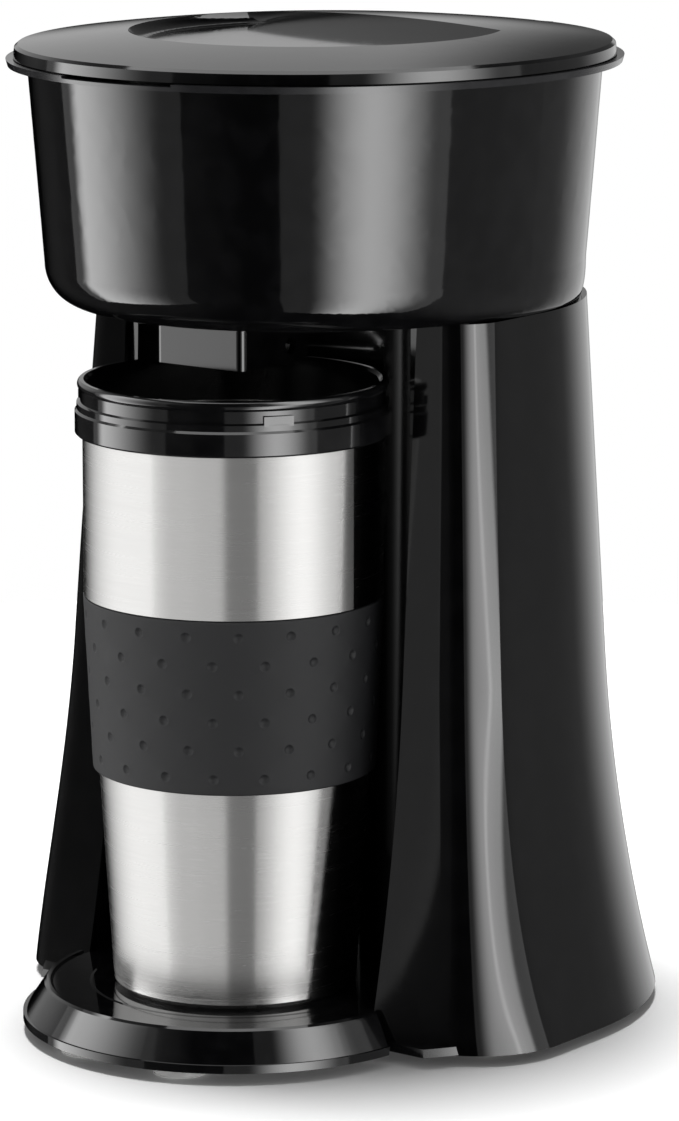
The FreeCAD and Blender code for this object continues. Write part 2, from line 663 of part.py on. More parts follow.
def supply_hose():
    return pipe(STUB_X, STUB_Y, STUB_TOP_Z - 12, VALVE_LOW_Z - 1, HOSE_R, TUBE_R + SNUG)


def riser_hose():
    return pipe(-STUB_X, STUB_Y, STUB_TOP_Z - 12, HEAD_FLOOR_Z + 2.5, HOSE_R, TUBE_R + SNUG)


def hose_clips():
    clips = []
    for x, z in ((STUB_X, STUB_TOP_Z - 9), (STUB_X, VALVE_LOW_Z - 9), (-STUB_X, STUB_TOP_Z - 9), (-STUB_X, HEAD_Z - 7)):
        clips.append(pipe(x, STUB_Y, z, z + 6, HOSE_R + 1.2, HOSE_R + SNUG))
    return clips


def ball_seat_z():
    """Height of the upper seat that lets the ball rise by its travel."""
    seat = BALL_R * 0.76
    return BALL_FLOOR_Z + SNUG + BALL_R + BALL_RISE + math.sqrt(BALL_R ** 2 - seat ** 2)


def valve_body():
    seat_z = ball_seat_z()
    body = turned((0, VALVE_LOW_Z - 14), (TUBE_R, VALVE_LOW_Z - 14), (TUBE_R, VALVE_LOW_Z), (VALVE_R, VALVE_LOW_Z),
                  (VALVE_R, VALVE_TOP_Z), (0, VALVE_TOP_Z))
    cuts = [post(0, 0, VALVE_LOW_Z - 15, BALL_FLOOR_Z - 2, 2.8), post(0, 0, BALL_FLOOR_Z, seat_z, BALL_R + 1.0)]
    cuts += [post(0, 0, seat_z - 1, NIPPLE_LOW_Z + 1, BALL_R * 0.76)]
    cuts += [post(0, 0, NIPPLE_LOW_Z - SNUG, VALVE_TOP_Z + 1, TUBE_R + SNUG)]
    for step in range(4):
        place = around(2.6, 90.0 * step)
        cuts.append(post(place.x, place.y, BALL_FLOOR_Z - 2.5, BALL_FLOOR_Z + 0.5, 1.2))
    body = body.cut(cuts)
    body.translate(Vector(STUB_X, STUB_Y, 0))
    return body


def valve_ball():
    return Part.makeSphere(BALL_R, Vector(STUB_X, STUB_Y, BALL_FLOOR_Z + SNUG + BALL_R))


def thermostat():
    low = HEATER_Z + TUBE_R + GAP
    can = post(0, HEATER_R, low, low + 5.0, 8.0)
    tabs = [block(x - 0.4, x + 0.4, HEATER_R - 3, HEATER_R + 3, low + 4.5, low + 11) for x in (-THERMO_TAB, THERMO_TAB)]
    return can.fuse(tabs)


def thermal_fuses():
    fuses = []
    for angle in (65.0, 115.0):
        fuse = Part.makeCylinder(2.2, 16, Vector(HEATER_R, -8, HEATER_Z + TUBE_R + GAP + 2.2), Vector(0, 1, 0))
        fuse.rotate(ORIGIN, Z_AXIS, angle)
        fuses.append(fuse)
    return fuses


# Electrical parts

def terminal_block():
    body = block(-12, 12, 60, 72, COVER_TOP_Z, COVER_TOP_Z + 11)
    body = body.makeChamfer(1.0, [e for e in body.Edges if e.BoundBox.ZMin > COVER_TOP_Z + 5])
    cuts = [post(x, 66, COVER_TOP_Z + 6, 40, 2.0) for x in (-6.0, 6.0)]
    return body.cut(cuts)


def switch_place(shape):
    """Move a fitting drawn with its seat at the origin onto the switch pad."""
    shape.translate(Vector(SWITCH_PROUD, 0, 0))
    return tilted(shape, 180, SWITCH_Z)


def spade_end(z):
    """Point beside a switch spade where its wire ends."""
    return switch_place(Part.Vertex(-BODY_D - 3.5, -BODY_Y / 4 - 2 * GAP, z)).Point


def wiring():
    low = COVER_TOP_Z + 4.5
    lower, upper = spade_end(-SPADE_Z), spade_end(SPADE_Z)
    live = [Vector(-12.5, 66, low), Vector(-34, 60, low), Vector(-58, 36, low), lower + Vector(0, 14, 0), lower]
    high = HEATER_Z + TUBE_R + 15
    feed = [upper, upper + Vector(2, 20, 0), Vector(-30, 50, high), Vector(-THERMO_TAB - 3 * GAP, HEATER_R, high - 6)]
    element = element_z()
    end = around(HEATER_R, HEATER_END + 8, element)
    lead = Vector(end.y, -end.x, 0).normalize()
    neutral = [Vector(12.5, 66, low), Vector(34, 60, low), Vector(60, 36, low), Vector(60, 16, element),
               end + lead * 18, end + lead * GAP]
    return [route(points, WIRE_R, 5.0) for points in (live, feed, neutral)]


def switch_body():
    flange = block(0, 1.8, -SWITCH_Y / 2, SWITCH_Y / 2, -SWITCH_H / 2, SWITCH_H / 2)
    flange = flange.makeFillet(0.9, [e for e in flange.Edges if e.BoundBox.XMin > 1])
    can = block(-BODY_D, 0.5, -BODY_Y / 2, BODY_Y / 2, -BODY_H / 2, BODY_H / 2)
    pocket = block(-7, 9, -POCKET_Y / 2, POCKET_Y / 2, -POCKET_H / 2, POCKET_H / 2)
    pivot = Part.makeCylinder(1.2 + RUN, BODY_Y - 1, Vector(-2.5, -BODY_Y / 2 + 0.5, 0), Vector(0, 1, 0))
    return switch_place(flange.fuse(can).cut([pocket, pivot]))


def switch_rocker():
    tip = POCKET_H / 2 - 1.0
    face = outline((2.4, 0), (4.4, tip), (-0.8, tip - 0.2), (-5.0, 2.5), (-5.0, -2.5), (-0.8, 0.2 - tip), (4.4, -tip))
    width = POCKET_Y - 2 * GAP
    face.translate(Vector(0, -width / 2, 0))
    body = face.extrude(Vector(0, width, 0))
    pivot = Part.makeCylinder(1.2, BODY_Y - 1.4, Vector(-2.5, -BODY_Y / 2 + 0.7, 0), Vector(0, 1, 0))
    body = body.fuse(pivot)
    body.rotate(Vector(-2.5, 0, 0), Vector(0, 1, 0), ROCKER_TILT)
    return switch_place(body)


def switch_terminals():
    spades = []
    for z in (-SPADE_Z, SPADE_Z):
        spade = block(-BODY_D - 7, -BODY_D, -BODY_Y / 4, BODY_Y / 4, z - 0.4, z + 0.4)
        spades.append(switch_place(spade))
    return spades


def cord_gland():
    body = turned((GLAND_BORE, -9), (GLAND_R, -9), (GLAND_R, 0.2), (7.4, 0.2), (7.4, 1.2), (6.4, 2.1), (GLAND_BORE, 2.1))
    body.rotate(ORIGIN, Vector(0, 1, 0), 90)
    return tilted(body, 90, GLAND_Z)


# Travel mug, drawn from its own bottom

def on_seat(shape):
    shape.translate(Vector(0, MUG_Y, SEAT_Z))
    return shape


def mug_shell():
    top = COLLAR_Z + 1.9

    def side(inset):
        return [(BOTTOM_R - inset, 3.0), (BELOW_R - inset, GRIP_LOW_Z - GAP), (GRIP_LOW_R - GRIP_T - inset, GRIP_LOW_Z),
                (GRIP_TOP_R - GRIP_T - inset, GRIP_TOP_Z), (UPPER_R - inset, GRIP_TOP_Z + GAP), (UPPER_R - inset, top)]

    points = side(0) + side(STEEL_T)[::-1]
    return on_seat(turned(*points))


def mug_liner():
    top = COLLAR_Z + 1.8
    low = 6.5
    flange = UPPER_R - STEEL_T - 2 * SNUG
    return on_seat(turned(
        (0, low), (LINER_LOW_R - 4, low), ((LINER_LOW_R - 1.2, low + 1.2), (LINER_LOW_R, low + 4)),
        (LINER_TOP_R, top - STEEL_T), (flange, top - STEEL_T), (flange, top), (LINER_TOP_R - STEEL_T, top),
        (LINER_LOW_R - STEEL_T, low + 4.2), ((LINER_LOW_R - 2, low + 2), (LINER_LOW_R - 4.2, low + STEEL_T)),
        (0, low + STEEL_T)))


def mug_collar():
    base, rim = COLLAR_Z, MUG_H
    inner, groove = UPPER_R - 1.4, UPPER_R + SNUG
    body = turned(
        (groove, base), (COLLAR_R - 0.5, base), (COLLAR_R, base + 0.5), (COLLAR_R, base + 6.2), (COLLAR_R - 0.5, base + 6.8),
        (COLLAR_R - 0.5, base + 8.4), (COLLAR_R - 1.4, base + 8.8), (COLLAR_R - 1.4, rim - 2.6),
        ((COLLAR_R - 0.7, rim - 1.3), (COLLAR_R - 1.4, rim)), (inner + 1, rim), (inner, rim - 0.8),
        (inner, base + 2.0), (groove, base + 2.0))
    lugs = []
    for angle in (85.0, 205.0, 325.0):
        lug = block(COLLAR_R - 2.2, COLLAR_R - 0.6, -4, 4, base + 8.0, base + 10.6)
        lug.rotate(ORIGIN, Z_AXIS, angle)
        lugs.append(lug)
    return on_seat(body.fuse(lugs))


def mug_grip():
    inner_low, inner_high = GRIP_LOW_R - GRIP_T + SNUG, GRIP_TOP_R - GRIP_T + SNUG
    return on_seat(turned((inner_low, GRIP_LOW_Z), (GRIP_LOW_R - 0.3, GRIP_LOW_Z), (GRIP_LOW_R, GRIP_LOW_Z + 0.6),
                          (GRIP_TOP_R, GRIP_TOP_Z - 0.4), (GRIP_TOP_R - 0.3, GRIP_TOP_Z), (inner_high, GRIP_TOP_Z)))


def mug_base():
    plug = BOTTOM_R - STEEL_T - SNUG
    return on_seat(turned((0, 1.2), (26.0, 1.2), (27.0, 0), (BOTTOM_R - 1.8, 0), (BOTTOM_R - 0.2, 1.4), (BOTTOM_R - 0.2, 3.0),
                          (plug, 3.0), (plug, 6.0), (plug - 2.0, 6.0), (plug - 2.0, 4.0), (0, 4.0)))


def main():
    os.makedirs("parts", exist_ok=True)
    save("column_shell", column_shell())
    save("bay_panel", bay_panel())
    save("mug_platform", mug_platform())
    save("base_cover", base_cover())
    save("rubber_feet", *rubber_feet())
    save("base_screws", *base_screws())
    save("head_screws", *screws(head_bosses, HEAD_FLOOR_Z, 15.0, False))
    save("head_shell", head_shell())
    save("water_tank", water_tank())
    save("lid", lid())
    save("hinge_pin", hinge_pin())
    save("drip_spout", drip_spout())
    save("spout_gasket", spout_gasket())
    save("filter_basket", filter_basket())
    save("filter_mesh", filter_mesh())
    save("spray_arm", spray_arm())
    save("heater_tube", heater_tube())
    save("heater_element", heater_element())
    save("heater_brackets", *heater_brackets())
    save("supply_hose", supply_hose())
    save("riser_hose", riser_hose())
    save("hose_clips", *hose_clips())
    save("valve_body", valve_body())
    save("valve_ball", valve_ball())
    save("thermostat", thermostat())
    save("thermal_fuses", *thermal_fuses())
    save("terminal_block", terminal_block())
    save("wiring", *wiring())
    save("switch_body", switch_body())
    save("switch_rocker", switch_rocker())
    save("switch_terminals", *switch_terminals())
    save("cord_gland", cord_gland())
    save("mug_shell", mug_shell())
    save("mug_liner", mug_liner())
    save("mug_collar", mug_collar())
    save("mug_grip", mug_grip())
    save("mug_base", mug_base())


main()
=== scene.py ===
"""Looks of a single-serve drip coffee maker and its steel travel mug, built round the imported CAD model."""

import json
import logging
import math
from dataclasses import dataclass, field
from enum import Enum
from typing import Any, Iterable, Sequence

import bmesh
import bpy
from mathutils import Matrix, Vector

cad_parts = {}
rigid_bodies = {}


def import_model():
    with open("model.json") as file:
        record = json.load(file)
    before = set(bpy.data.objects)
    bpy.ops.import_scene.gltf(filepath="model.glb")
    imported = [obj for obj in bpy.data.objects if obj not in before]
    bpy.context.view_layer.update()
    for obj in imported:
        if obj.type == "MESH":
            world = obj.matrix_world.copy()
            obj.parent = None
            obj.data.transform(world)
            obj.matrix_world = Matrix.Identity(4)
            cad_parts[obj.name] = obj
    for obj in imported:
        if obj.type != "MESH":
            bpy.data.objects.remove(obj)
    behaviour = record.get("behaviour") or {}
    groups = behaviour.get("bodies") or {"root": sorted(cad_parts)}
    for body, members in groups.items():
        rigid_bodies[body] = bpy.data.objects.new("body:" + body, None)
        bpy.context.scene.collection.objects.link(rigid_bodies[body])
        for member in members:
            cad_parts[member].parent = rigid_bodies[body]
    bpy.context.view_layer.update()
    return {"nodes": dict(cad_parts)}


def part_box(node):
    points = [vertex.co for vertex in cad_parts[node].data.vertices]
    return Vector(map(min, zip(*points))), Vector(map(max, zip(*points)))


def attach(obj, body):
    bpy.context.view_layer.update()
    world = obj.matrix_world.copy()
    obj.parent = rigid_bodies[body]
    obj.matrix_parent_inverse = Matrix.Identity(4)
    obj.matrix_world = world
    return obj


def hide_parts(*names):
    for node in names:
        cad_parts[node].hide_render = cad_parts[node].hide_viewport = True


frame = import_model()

log = logging.getLogger("coffee_maker")

Color = tuple[float, float, float]
WHITE = (1.0, 1.0, 1.0, 1.0)
MM = 0.001
COLUMN_PIECE = "column_moulded"


# Shader maths

class Wire:
    """An output socket; Python operators on it add Math nodes to its tree."""

    def __init__(self, tree: "Tree", socket: bpy.types.NodeSocket) -> None:
        """Keeps the tree and the socket."""
        self.tree = tree
        self.socket = socket

    def _math(self, operation: str, *operands: Any) -> "Wire":
        """Adds one Math node.

        Args:
            operation: The Math node's operation.
            operands: Wires or numbers, in the order of the node's inputs.

        Returns:
            The node's output.
        """
        return self.tree.node("ShaderNodeMath", {"operation": operation}, dict(enumerate(operands)))

    def __add__(self, other: Any) -> "Wire":
        """Sum."""
        return self._math("ADD", self, other)

    def __radd__(self, other: Any) -> "Wire":
        """Sum, number first."""
        return self._math("ADD", other, self)

    def __sub__(self, other: Any) -> "Wire":
        """Difference."""
        return self._math("SUBTRACT", self, other)

    def __rsub__(self, other: Any) -> "Wire":
        """Difference, number first."""
        return self._math("SUBTRACT", other, self)

    def __mul__(self, other: Any) -> "Wire":
        """Product."""
        return self._math("MULTIPLY", self, other)

    def __rmul__(self, other: Any) -> "Wire":
        """Product, number first."""
        return self._math("MULTIPLY", other, self)

    def __abs__(self) -> "Wire":
        """Size without sign."""
        return self._math("ABSOLUTE", self)

    def sine(self) -> "Wire":
        """Sine of an angle in radians."""
        return self._math("SINE", self)

    def greater(self, other: Any) -> "Wire":
        """The larger of two values."""
        return self._math("MAXIMUM", self, other)

    def angle_from(self, across: "Wire") -> "Wire":
        """Angle of a point whose sine side is this value."""
        return self._math("ARCTAN2", self, across)

    def smooth(self, low: float, high: float) -> "Wire":
        """Rises softly from zero at low to one at high.

        Args:
            low: Value that gives zero.
            high: Value that gives one.

        Returns:
            The mapped value.
        """
        return self.tree.node(
            "ShaderNodeMapRange", {"interpolation_type": "SMOOTHSTEP"},
            {"Value": self, "From Min": low, "From Max": high})

    def out(self, name: str) -> "Wire":
        """Another output of the same node."""
        return Wire(self.tree, self.socket.node.outputs[name])


class Tree:
    """The nodes of one material, lamp or world."""

    def __init__(self, owner: Any) -> None:
        """Empties the owner's node tree.

        Args:
            owner: Material, light or world.
        """
        owner.use_nodes = True
        self.nodes = owner.node_tree.nodes
        self.links = owner.node_tree.links
        self.nodes.clear()

    def node(self, kind: str, settings: dict[str, Any] | None = None,
             sockets: dict[Any, Any] | None = None, output: int | str = 0) -> Wire:
        """Adds any node.

        Args:
            kind: The node's type.
            settings: Attributes, set before the sockets. Stops are those of a colour ramp.
            sockets: Values or wires of the inputs, by name or index.
            output: The output that is returned.

        Returns:
            The chosen output.
        """
        made = self.nodes.new(kind)
        for key, value in (settings or {}).items():
            if key == "stops":
                self._set_stops(made.color_ramp, value)
            else:
                setattr(made, key, value)
        for key, value in (sockets or {}).items():
            if isinstance(value, Wire):
                self.links.new(value.socket, made.inputs[key])
            else:
                made.inputs[key].default_value = value
        if not made.outputs:
            return Wire(self, made.inputs[0])
        return Wire(self, made.outputs[output])

    @staticmethod
    def _set_stops(ramp: bpy.types.ColorRamp, stops: Sequence[tuple[float, float]]) -> None:
        """Gives a ramp grey stops with soft steps between them.

        Args:
            ramp: The colour ramp.
            stops: Pairs of position and grey level.
        """
        ramp.interpolation = "EASE"
        while len(ramp.elements) > 1:
            ramp.elements.remove(ramp.elements[-1])
        for k, (place, level) in enumerate(stops):
            element = ramp.elements.new(place) if k else ramp.elements[0]
            element.position = place
            element.color = (level, level, level, 1.0)

    def place(self) -> Wire:
        """Position on the piece, in metres of the CAD frame."""
        return self.node("ShaderNodeTexCoord", output="Object")

    def stretched(self, vector: Wire, scale: Color) -> Wire:
        """Position multiplied along each axis."""
        return self.node("ShaderNodeVectorMath", {"operation": "MULTIPLY"}, {0: vector, 1: scale})

    def noise(self, vector: Wire, scale: float, detail: float = 2.0, roughness: float = 0.5) -> Wire:
        """Noise between zero and one.

        Args:
            vector: Position.
            scale: Cells per metre.
            detail: Octaves.
            roughness: Weight of the finer octaves.

        Returns:
            The noise value.
        """
        return self.node("ShaderNodeTexNoise", {"noise_dimensions": "3D"},
                         {"Vector": vector, "Scale": scale, "Detail": detail, "Roughness": roughness})

    def mix(self, factor: Any, low: Any, high: Any) -> Wire:
        """Mixes two colours.

        Args:
            factor: Share of the second colour.
            low: First colour.
            high: Second colour.

        Returns:
            The mixed colour.
        """
        def full(value: Any) -> Any:
            """Adds the fourth channel to a plain colour."""
            return value if isinstance(value, Wire) else (*value, 1.0)

        sockets = {0: factor, 6: full(low), 7: full(high)}
        return self.node("ShaderNodeMix", {"data_type": "RGBA"}, sockets, output=2)

    def bump(self, height: Wire, distance: float, strength: float = 1.0) -> Wire:
        """Normal from a height between zero and one.

        Args:
            height: The height.
            distance: Depth in metres.
            strength: Share of the effect.

        Returns:
            The bent normal.
        """
        return self.node("ShaderNodeBump", {}, {"Strength": strength, "Distance": distance, "Height": height})

    def surface(self, sockets: dict[str, Any]) -> None:
        """Ends a material with one principled shader.

        Args:
            sockets: Its inputs by name.
        """
        shader = self.node("ShaderNodeBsdfPrincipled", {}, sockets)
        self.node("ShaderNodeOutputMaterial", {}, {"Surface": shader})


# Finishes

@dataclass(frozen=True)
class Finish:
    """What every finish has."""

    name: str
    color: Color

    def paint(self, tree: Tree) -> None:
        """Builds the shader.

        Args:
            tree: The empty node tree.
        """
        raise NotImplementedError

    def material(self) -> bpy.types.Material:
        """The material, made on first use."""
        found = bpy.data.materials.get("look_" + self.name)
        if found is None:
            found = bpy.data.materials.new("look_" + self.name)
            self.paint(Tree(found))
        return found


@dataclass(frozen=True)
class GlossMoulding(Finish):
    """Polished black moulding: faint flow ripple, wiping hairlines and softer patches."""

    roughness: float = 0.055
    smear: float = 0.03
    ripple: float = 0.004 * MM

    def paint(self, tree: Tree) -> None:
        """Builds the shader."""
        place = tree.place()
        cloud = tree.noise(place, 22.0, 3.0)
        wipe = tree.noise(tree.stretched(place, (40.0, 40.0, 420.0)), 1.0, 4.0, 0.6)
        hairline = 1.0 - abs(wipe - 0.5).smooth(0.0, 0.02)
        tone = tree.noise(place, 160.0, 2.0)
        flow = tree.noise(place, 75.0, 1.0)
        lift = tuple(1.35 * part + 0.0006 for part in self.color)
        tree.surface({
            "Base Color": tree.mix(tone.smooth(0.35, 0.75), self.color, lift),
            "Roughness": self.roughness + self.smear * cloud.smooth(0.45, 0.8) + 0.02 * hairline,
            "IOR": 1.5,
            "Normal": tree.bump(flow, self.ripple),
        })


@dataclass(frozen=True)
class MattMoulding(Finish):
    """Spark-eroded moulding with a fine even grain."""

    roughness: float = 0.46
    grain: float = 0.03 * MM
    scale: float = 1800.0

    def paint(self, tree: Tree) -> None:
        """Builds the shader."""
        place = tree.place()
        grain = tree.noise(place, self.scale, 3.0, 0.6)
        rub = tree.noise(place, 30.0, 4.0)
        rubbed = tuple(1.5 * c + 0.004 for c in self.color)
        tree.surface({
            "Base Color": tree.mix(rub.smooth(0.3, 0.75), self.color, rubbed),
            "Roughness": self.roughness - 0.12 * rub.smooth(0.5, 0.8) + 0.1 * (grain - 0.5),
            "IOR": 1.5,
            "Normal": tree.bump(grain, self.grain),
        })


@dataclass(frozen=True)
class BrushedSteel(Finish):
    """Steel brushed round the mug: long fine lines, sharp across and smeared along the height."""

    axis_y: float = 0.0
    roughness: float = 0.25
    lines: float = 0.004 * MM

    def paint(self, tree: Tree) -> None:
        """Builds the shader."""
        parts = tree.node("ShaderNodeSeparateXYZ", {}, {0: tree.place()})
        across, along, up = parts.out("X"), parts.out("Y") - self.axis_y, parts.out("Z")
        turn = along.angle_from(across)
        band = tree.node("ShaderNodeCombineXYZ", {}, {
            0: 0.9 * turn.sine(), 1: 0.9 * (turn + 1.2).sine(), 2: 2600.0 * up})
        fine = tree.noise(band, 1.0, 3.0, 0.65)
        coarse = tree.noise(tree.stretched(band, (1.6, 1.6, 0.16)), 1.0, 2.0)
        score = tree.noise(tree.stretched(band, (2.4, 2.4, 0.45)), 1.0, 1.0)
        scratch = 1.0 - abs(score - 0.5).smooth(0.0, 0.03)
        haze = tree.noise(tree.place(), 26.0, 3.0)
        dark = tuple(0.82 * part for part in self.color)
        tree.surface({
            "Base Color": tree.mix(0.5 * fine + 0.35 * coarse + 0.15 * haze, dark, self.color),
            "Metallic": 1.0,
            "Roughness": self.roughness + 0.14 * (fine - 0.5) + 0.08 * (coarse - 0.5) - 0.05 * scratch,
            "Anisotropic": 0.9,
            "Anisotropic Rotation": 0.25,
            "Normal": tree.bump(0.6 * fine + 0.4 * scratch, self.lines),
        })


@dataclass(frozen=True)
class SoftRubber(Finish):
    """Moulded rubber with a dry grain and paler rubbed spots."""

    roughness: float = 0.58
    grain: float = 0.02 * MM
    scale: float = 2400.0

    def paint(self, tree: Tree) -> None:
        """Builds the shader."""
        place = tree.place()
        grain = tree.noise(place, self.scale, 4.0, 0.7)
        rub = tree.noise(place, 45.0, 5.0, 0.6)
        tree.surface({
            "Base Color": tree.mix(0.6 * rub + 0.4 * grain, tuple(0.78 * c for c in self.color),
                                   tuple(min(1.0, 1.2 * c) for c in self.color)),
            "Roughness": self.roughness + 0.16 * (grain - 0.5) - 0.08 * rub.smooth(0.55, 0.8),
            "IOR": 1.5,
            "Normal": tree.bump(grain, self.grain),
        })


@dataclass(frozen=True)
class Silicone(Finish):
    """Milky silicone with a cloudy body."""

    def paint(self, tree: Tree) -> None:
        """Builds the shader."""
        place = tree.place()
        cloud = tree.noise(place, 90.0, 4.0)
        tree.surface({
            "Base Color": tree.mix(cloud, tuple(0.86 * c for c in self.color), self.color),
            "Roughness": 0.3 + 0.15 * cloud,
            "Subsurface Weight": 0.35,
            "Subsurface Scale": 2.0 * MM,
            "IOR": 1.41,
            "Normal": tree.bump(tree.noise(place, 700.0, 2.0), 0.01 * MM),
        })


@dataclass(frozen=True)
class PlainMetal(Finish):
    """Bare or plated metal with drawn lines and a mottled tone."""

    roughness: float = 0.32
    tint: Color = (0.6, 0.56, 0.46)

    def paint(self, tree: Tree) -> None:
        """Builds the shader."""
        place = tree.place()
        mottle = tree.noise(place, 260.0, 5.0, 0.65)
        drawn = tree.noise(tree.stretched(place, (2600.0, 2600.0, 160.0)), 1.0, 2.0)
        tree.surface({
            "Base Color": tree.mix(mottle.smooth(0.4, 0.75), self.color, self.tint),
            "Metallic": 1.0,
            "Roughness": self.roughness + 0.16 * (mottle - 0.5) + 0.1 * (drawn - 0.5),
            "Normal": tree.bump(drawn, 0.006 * MM),
        })


@dataclass(frozen=True)
class WovenNylon(Finish):
    """Fine square weave of a filter cone, drawn round its upright axis."""

    axis_y: float = 0.0
    count: float = 110.0
    pitch: float = 1.2 * MM

    def paint(self, tree: Tree) -> None:
        """Builds the shader."""
        parts = tree.node("ShaderNodeSeparateXYZ", {}, {0: tree.place()})
        turn = (parts.out("Y") - self.axis_y).angle_from(parts.out("X"))
        warp = abs((turn * (0.5 * self.count)).sine())
        weft = abs((parts.out("Z") * (math.pi / self.pitch)).sine())
        thread = warp.greater(weft)
        stain = tree.noise(tree.place(), 70.0, 4.0)
        body = tree.mix(stain.smooth(0.35, 0.75), self.color, tuple(0.55 * c for c in self.color))
        tree.surface({
            "Base Color": tree.mix(thread.smooth(0.5, 0.9), (0.012, 0.01, 0.008), body),
            "Roughness": 0.75 - 0.25 * thread,
            "Normal": tree.bump(thread, 0.12 * MM),
        })


@dataclass(frozen=True)
class WireSleeve(Finish):
    """Insulating sleeve: a bias weave over a pale body."""

    def paint(self, tree: Tree) -> None:
        """Builds the shader."""
        parts = tree.node("ShaderNodeSeparateXYZ", {}, {0: tree.place()})
        one = ((parts.out("X") + parts.out("Z")) * 4200.0).sine()
        two = ((parts.out("Y") - parts.out("Z")) * 4200.0).sine()
        weave = (one * two).smooth(-0.6, 0.6)
        tree.surface({
            "Base Color": tree.mix(weave, tuple(0.7 * c for c in self.color), self.color),
            "Roughness": 0.6 + 0.15 * weave,
            "Normal": tree.bump(weave, 0.1 * MM),
        })


@dataclass(frozen=True)
class StudioFloor(Finish):
    """Pale floor that looks white and keeps the shadow."""

    glow: float = 0.03

    def paint(self, tree: Tree) -> None:
        """Builds the shader."""
        ray = tree.node("ShaderNodeLightPath", output="Is Camera Ray")
        seen = ray.greater(ray.out("Is Glossy Ray")).greater(ray.out("Is Transmission Ray"))
        paper = tree.noise(tree.place(), 900.0, 3.0)
        matt = tree.node("ShaderNodeBsdfPrincipled", {}, {
            "Base Color": tree.mix(paper, tuple(0.97 * c for c in self.color), self.color),
            "Roughness": 0.7,
        })
        glow = tree.node("ShaderNodeEmission", {}, {"Color": WHITE, "Strength": self.glow * seen})
        both = tree.node("ShaderNodeAddShader", {}, {0: matt, 1: glow})
        tree.node("ShaderNodeOutputMaterial", {}, {"Surface": both})


# Sub-assemblies

class Dressed:
    """A sub-assembly whose CAD solids stay and get finishes."""

    def finishes(self) -> dict[Finish, tuple[str, ...]]:
        """The nodes of each finish."""
        raise NotImplementedError

    def dress(self) -> None:
        """Gives every node its finish."""
        for finish, nodes in self.finishes().items():
            for name in nodes:
                slots = frame["nodes"][name].data.materials
                slots.clear()
                slots.append(finish.material())
                log.info("%s: %s", name, finish.name)

    def build(self) -> None:
        """Builds and dresses the sub-assembly."""
        self.dress()


@dataclass
class Housing(Dressed):
    """Column, platform, base and brewing head."""

    black: Color = (0.0009, 0.0009, 0.001)
    wall_low: float = 56.6 * MM
    wall_low_z: float = 5.4 * MM
    rim_radius: float = 51.6 * MM
    rim_z: float = 13.0 * MM
    rim_top_z: float = 13.6 * MM
    floor_z: float = 13.05 * MM
    ring: tuple[float, float] = (38.9 * MM, 49.5 * MM)
    ring_low_z: float = 11.0 * MM
    ring_lift: float = 1.15 * MM
    cad_rim_low_z: float = 13.3 * MM
    cad_rim_top_z: float = 14.0 * MM
    rim_slack: float = 0.02 * MM
    wall_slack: float = 0.25 * MM
    crease: float = math.radians(24.0)

    def finishes(self) -> dict[Finish, tuple[str, ...]]:
        """The nodes of each finish."""
        return {
            GlossMoulding("housing_black", self.black): (
                "column_shell", "head_shell", "mug_platform", "base_cover"),
            GlossMoulding("lid_black", self.black, roughness=0.075): ("lid",),
            GlossMoulding("bay_black", self.black, roughness=0.09, smear=0.05): ("bay_panel", "drip_spout"),
            MattMoulding("base_black", (0.012, 0.012, 0.013)): ("cord_gland",),
            SoftRubber("foot_rubber", (0.26, 0.26, 0.255)): ("rubber_feet",),
        }

    def trued(self, radius: float, z: float) -> tuple[float, float]:
        """Profile of the platform as it is moulded: straight wall, low rim and flush floor.

        Args:
            radius: Distance of a CAD point from the mug's axis.
            z: Height of that point.

        Returns:
            The point's distance and height in the moulded form.
        """
        low, high = self.ring
        if low < radius < high and z > self.ring_low_z:
            return radius, min(z + self.ring_lift, self.floor_z)
        if high <= radius < self.rim_radius + self.rim_slack and z > self.cad_rim_low_z:
            return radius, self.rim_top_z - max(0.0, self.cad_rim_top_z - z)
        share = (z - self.wall_low_z) / (self.rim_z - self.wall_low_z)
        straight = self.wall_low + (self.rim_radius - self.wall_low) * min(1.0, share)
        if share >= 0.0 and radius > straight - self.wall_slack:
            return straight, min(z, self.rim_z)
        return radius, z

    def platform(self) -> bpy.types.Object:
        """Builds the platform that stands for the CAD one.

        Returns:
            The piece, fixed to the housing.
        """
        low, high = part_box("mug_shell")
        axis = 0.5 * (low + high)
        data = frame["nodes"]["mug_platform"].data.copy()
        data.name = "mug_platform_moulded"
        data.attributes.remove(data.attributes["custom_normal"])
        for corner in data.vertices:
            flat = Vector((corner.co.x - axis.x, corner.co.y - axis.y))
            radius, z = self.trued(flat.length, corner.co.z)
            if flat.length > 0.0:
                flat *= radius / flat.length
            corner.co = (axis.x + flat.x, axis.y + flat.y, z)
        data.shade_smooth()
        data.set_sharp_from_angle(angle=self.crease)
        piece = bpy.data.objects.new("mug_platform_moulded", data)
        bpy.context.scene.collection.objects.link(piece)
        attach(piece, "housing")
        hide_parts("mug_platform")
        log.info("%s: %d faces", piece.name, len(data.polygons))
        return piece

    def build(self) -> None:
        """Dresses the housing and adds the moulded platform and column."""
        self.dress()
        self.platform()
        ColumnSkin().build(GlossMoulding("housing_black", self.black))


